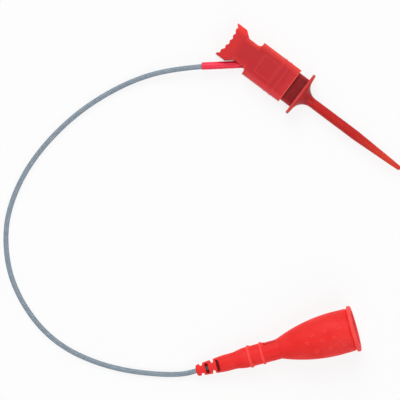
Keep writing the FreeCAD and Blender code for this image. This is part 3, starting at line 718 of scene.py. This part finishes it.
def makeShrink():
    # r = radius less shallow waves, two sines of the place along and the angle; rounded ends
    s = shrinkShape
    k = np.arange(s["edge"], s["length"] - s["edge"] + 0.01, s["step"])
    angle = np.linspace(0, 2 * math.pi, s["around"], endpoint=False)
    (long, skew), (short, turns) = s["long"], s["short"]
    waves = (np.sin(k[:, None] * long + skew * np.sin(angle))
             + np.sin(k[:, None] * short + angle * turns))
    outer = s["radius"] - s["wave"] * (1 - waves / 2)
    quarter = np.radians(np.linspace(0, 90, 5)[1:-1])
    inward, drop = s["edge"] * (1 - np.sin(quarter)), s["edge"] * (1 - np.cos(quarter))
    bore = np.full((1, len(angle)), s["bore"])
    along = np.concatenate([[0], inward[::-1], k, s["length"] - inward, [s["length"]]])
    radius = np.vstack([bore, outer[0] - drop[::-1, None], outer, outer[-1] - drop[:, None],
                        bore])
    centre = np.array(s["exit"]) + np.array(s["way"]) * (s["start"] + along)[:, None]
    left = np.cross([0, 0, 1], s["way"])
    points = centre[:, None, :] + radius[..., None] * (
        np.cos(angle)[None, :, None] * left + np.sin(angle)[None, :, None] * np.array([0, 0, 1]))
    piece = addPiece("heatShrinkFilm", gridMesh("heatShrinkFilm", points * mm, closedAlong=True))
    return finishPiece(piece, "film", "heat_shrink", "grip", sharpAngle=50)


shrink = makeShrink()
print("heat-shrink made")


# the nose's sizes along the clip's axis, from the finger flange to the tip
noseShape = {
    "axisZ": 2.58, "back": -4.65, "flange": 6.15, "flangeTip": 0.75, "half": 2.58, "edge": 0.12,
    "flare": (-0.3, 4.715, 3.45), "tube": 1.265, "taperStart": 13.85, "tip": 0.63, "end": 28.05,
    "round": 0.2, "seat": 1.62, "seatDepth": 1.42, "channel": 0.75, "channelEnd": 12.85,
    "wireHole": 0.21, "wireSide": -0.36, "slotLength": 2.1, "slotWidth": 0.42,
    "columns": 96, "seam": 0.02, "seamEnd": 1.0, "holeColumns": 20, "past": 1.0,
}


def noseProfile():
    # from the channel's end back to the seat, over the flange and the flare, out to the tip
    s = noseShape
    e, back, front = s["edge"], s["back"], s["back"] + s["flangeTip"]
    flareX, flareR, flareRadius = s["flare"]
    seatEnd = back + s["seatDepth"]
    inner = [[[s["channelEnd"], s["channel"]]],
             run(s["channelEnd"], s["channel"], seatEnd, s["channel"], 2.0),
             run(seatEnd, s["channel"], seatEnd, s["seat"], 0.5),
             run(seatEnd, s["seat"], back, s["seat"], 0.5)]
    outer = [run(back, s["seat"], back, s["flange"] - e, 0.5),
             bend(back + e, s["flange"] - e, e, 180, 90, 4),
             run(back + e, s["flange"], front - e, s["flange"], 0.2),
             bend(front - e, s["flange"] - e, e, 90, 0, 4),
             run(front, s["flange"] - e, flareX - flareRadius, flareR, 0.15),
             bend(flareX, flareR, flareRadius, 180, 270, 36),
             run(flareX, s["tube"], s["taperStart"], s["tube"], 0.7),
             run(s["taperStart"], s["tube"], s["end"] - s["round"], s["tip"], 0.7),
             bend(s["end"] - s["round"], s["tip"] - s["round"], s["round"], 90, 0, 5)]
    return np.vstack(inner), np.vstack(outer)


def makeNose():
    # the profile turned about the axis: (r cos a, r sin a); two blocks cut the flats, a third
    # the slot in the tip
    s = noseShape
    inner, outer = noseProfile()
    profile = np.vstack([inner, outer])
    x, r = profile[:, :1], profile[:, 1:]
    angle = np.linspace(0, 2 * math.pi, s["columns"], endpoint=False)[None, :]
    # the mould's parting line runs along both sides of the tube
    outside = np.arange(len(x))[:, None] >= len(inner)
    onTube = outside & (x > s["flare"][0]) & (x < s["end"] - s["seamEnd"])
    radius = r + np.where(onTube & (np.abs(np.sin(angle)) < 0.001), s["seam"], 0)
    points = np.stack([np.repeat(x, s["columns"], 1), radius * np.cos(angle),
                       s["axisZ"] + radius * np.sin(angle)], -1)
    piece = addPiece("nosePieceMoulded", gridMesh("nosePieceMoulded", points * mm))
    # the cutters run past what they cut
    past = s["past"]
    turn = np.linspace(0, 2 * math.pi, s["holeColumns"], endpoint=False)
    ring = np.stack([0 * turn, s["wireSide"] + s["wireHole"] * np.cos(turn),
                     s["axisZ"] + s["wireHole"] * np.sin(turn)], -1)
    hole = np.stack([ring + [x, 0, 0] for x in (s["channelEnd"] - past / 2, s["end"] + past / 2)])
    cutAway(piece, gridMesh("wireHole", hole * mm))
    width, half, reach = s["slotWidth"] / 2, s["half"], s["flange"] + past
    blocks = [((s["end"] - s["slotLength"], -reach, s["axisZ"] - width),
               (s["end"] + past, reach, s["axisZ"] + width))]
    blocks += [((s["back"] - past, -reach, s["axisZ"] + low), (0, reach, s["axisZ"] + high))
               for low, high in ((half, reach), (-reach, -half))]
    cutAway(piece, blockMesh("noseCutters", blocks, lambda points: points * mm))
    return finishPiece(piece, "nose", "nose_piece", "nose", sharpAngle=40)


makeNose()
print("nose made")


# angles in degrees: faces that count as one flat, edges that are rounded, edges shaded sharp
softening = {"flat": 0.5, "rounded": 40, "sharp": 35, "segments": 2}


def softened(node, name, look, body, edgeMm):
    # a merged copy of the node, its flats joined and its sharp edges given a small round
    mesh = mergedMesh(nodes[node].data.copy(), mergeAt["copy"], flatDegrees=softening["flat"])
    mesh.name = name
    mesh.shade_smooth()
    piece = addPiece(name, mesh)
    bevel = piece.modifiers.new("edges", "BEVEL")
    bevel.width, bevel.segments = edgeMm * mm, softening["segments"]
    bevel.limit_method, bevel.angle_limit = "ANGLE", math.radians(softening["rounded"])
    return finishPiece(piece, look, node, body, sharpAngle=softening["sharp"])


softened("grip_sleeve", "gripSleeveMoulded", "sleeve", "grip", 0.06)
softened("inner_stem", "innerStemMoulded", "stem", "nose", 0.05)
insulator = softened("socket_insulator", "socketInsulatorMoulded", "insulator",
                     "grip", 0.06)
print("moulded pieces softened")


# return spring inside the stem, pressed together when the nose slides into the sleeve
springShape = {"start": -17.55, "end": -6.30, "radius": 1.12, "wire": 0.125, "turns": 7,
               "closed": 0.9, "perTurn": 48, "around": 10, "axisZ": 2.58,
               "still": (-17.7, -6.15)}


def makeSpring():
    # helix: angle grows evenly, while the place along the axis lags in the closed end turns;
    # a round section is carried along it
    s = springShape
    turn = np.linspace(0, s["turns"], s["turns"] * s["perTurn"] + 1)
    ease = turn / s["turns"]
    ease = ease - s["closed"] * np.sin(2 * math.pi * ease) / (2 * math.pi)
    x = s["start"] + (s["end"] - s["start"]) * ease
    angle = 2 * math.pi * turn
    outward = np.stack([0 * angle, np.cos(angle), np.sin(angle)], -1)
    line = outward * s["radius"] + np.stack([x, 0 * x, 0 * x + s["axisZ"]], -1)
    tangent = np.gradient(line, axis=0)
    tangent /= np.linalg.norm(tangent, axis=1, keepdims=True)
    across = np.cross(tangent, outward)
    section = np.linspace(0, 2 * math.pi, s["around"], endpoint=False)
    points = line[:, None, :] + s["wire"] * (
        np.cos(section)[None, :, None] * outward[:, None, :]
        + np.sin(section)[None, :, None] * across[:, None, :])
    piece = addPiece("returnSpringCoil", gridMesh("returnSpringCoil", points * mm))
    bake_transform(piece)
    return finishPiece(piece, "spring", "return_spring")


makeSpring()
print("return spring made")

# a white table in a light tent: bright walls, a dim ceiling, a soft lamp at either side
studio = {"floorHalf": 1.5, "floorDrop": 0.05, "card": "#F0F0F0", "glow": 0.85,
          "ceiling": 0.1, "walls": 0.6, "wallTop": 0.15, "ceilingEdge": 0.75,
          "aim": (0, -0.04, 0),
          "lamps": (("keyLight", (-0.60, 0.50, 0.90), 1.0, 11.0),
                    ("fillLight", (0.62, -0.42, 0.90), 1.0, 6.5))}


def makeFloor():
    half = studio["floorHalf"]
    mesh = bpy.data.meshes.new("tableTop")
    mesh.from_pydata([(-half, -half, 0), (half, -half, 0), (half, half, 0), (-half, half, 0)],
                     [], [(0, 1, 2, 3)])
    floor = addPiece("tableTop", mesh)
    floor.location.z = -studio["floorDrop"] * mm
    material = bpy.data.materials.new("mattWhiteCard")
    material.use_nodes = True
    material.node_tree.nodes.clear()
    add = partial(addNode, material.node_tree)
    matt = add("ShaderNodeBsdfDiffuse", {"Color": srgb(studio["card"])})
    white = add("ShaderNodeEmission", {"Color": (1, 1, 1, 1), "Strength": 1.0})
    seen = add("ShaderNodeLightPath", out="Is Camera Ray")
    for ray in ("Is Glossy Ray", "Is Transmission Ray"):
        seen = add("ShaderNodeMath", {0: seen, 1: add("ShaderNodeLightPath", out=ray)},
                   operation="MAXIMUM")
    share = add("ShaderNodeMath", {0: seen, 1: studio["glow"]}, operation="MULTIPLY")
    mixed = add("ShaderNodeMixShader", {0: share, 1: matt, 2: white})
    add("ShaderNodeOutputMaterial", {"Surface": mixed})
    mesh.materials.append(material)


def makeWorld():
    world = bpy.data.worlds.new("lightTent")
    bpy.context.scene.world = world
    world.use_nodes = True
    world.node_tree.nodes.clear()
    add = partial(addNode, world.node_tree)
    way = add("ShaderNodeTexCoord", out="Object")
    rise = add("ShaderNodeSeparateXYZ", {"Vector": way}, out="Z")
    strength = add("ShaderNodeMapRange", {"Value": rise, "From Min": studio["wallTop"],
                                          "From Max": studio["ceilingEdge"],
                                          "To Min": studio["walls"], "To Max": studio["ceiling"]},
                   interpolation_type="SMOOTHSTEP")
    background = add("ShaderNodeBackground", {"Color": (1, 1, 1, 1), "Strength": strength})
    add("ShaderNodeOutputWorld", {"Surface": background})


def makeLamp(name, place, size, watts):
    data = bpy.data.lights.new(name, "AREA")
    data.shape, data.size, data.energy = "DISK", size, watts
    lamp = bpy.data.objects.new(name, data)
    bpy.context.scene.collection.objects.link(lamp)
    lamp.location = place
    aim = Vector(studio["aim"]) - Vector(place)
    lamp.rotation_euler = aim.to_track_quat("-Z", "Y").to_euler()


makeFloor()
makeWorld()
for lamp in studio["lamps"]:
    makeLamp(*lamp)
bpy.context.scene.view_settings.view_transform = "Standard"
print("stage made")
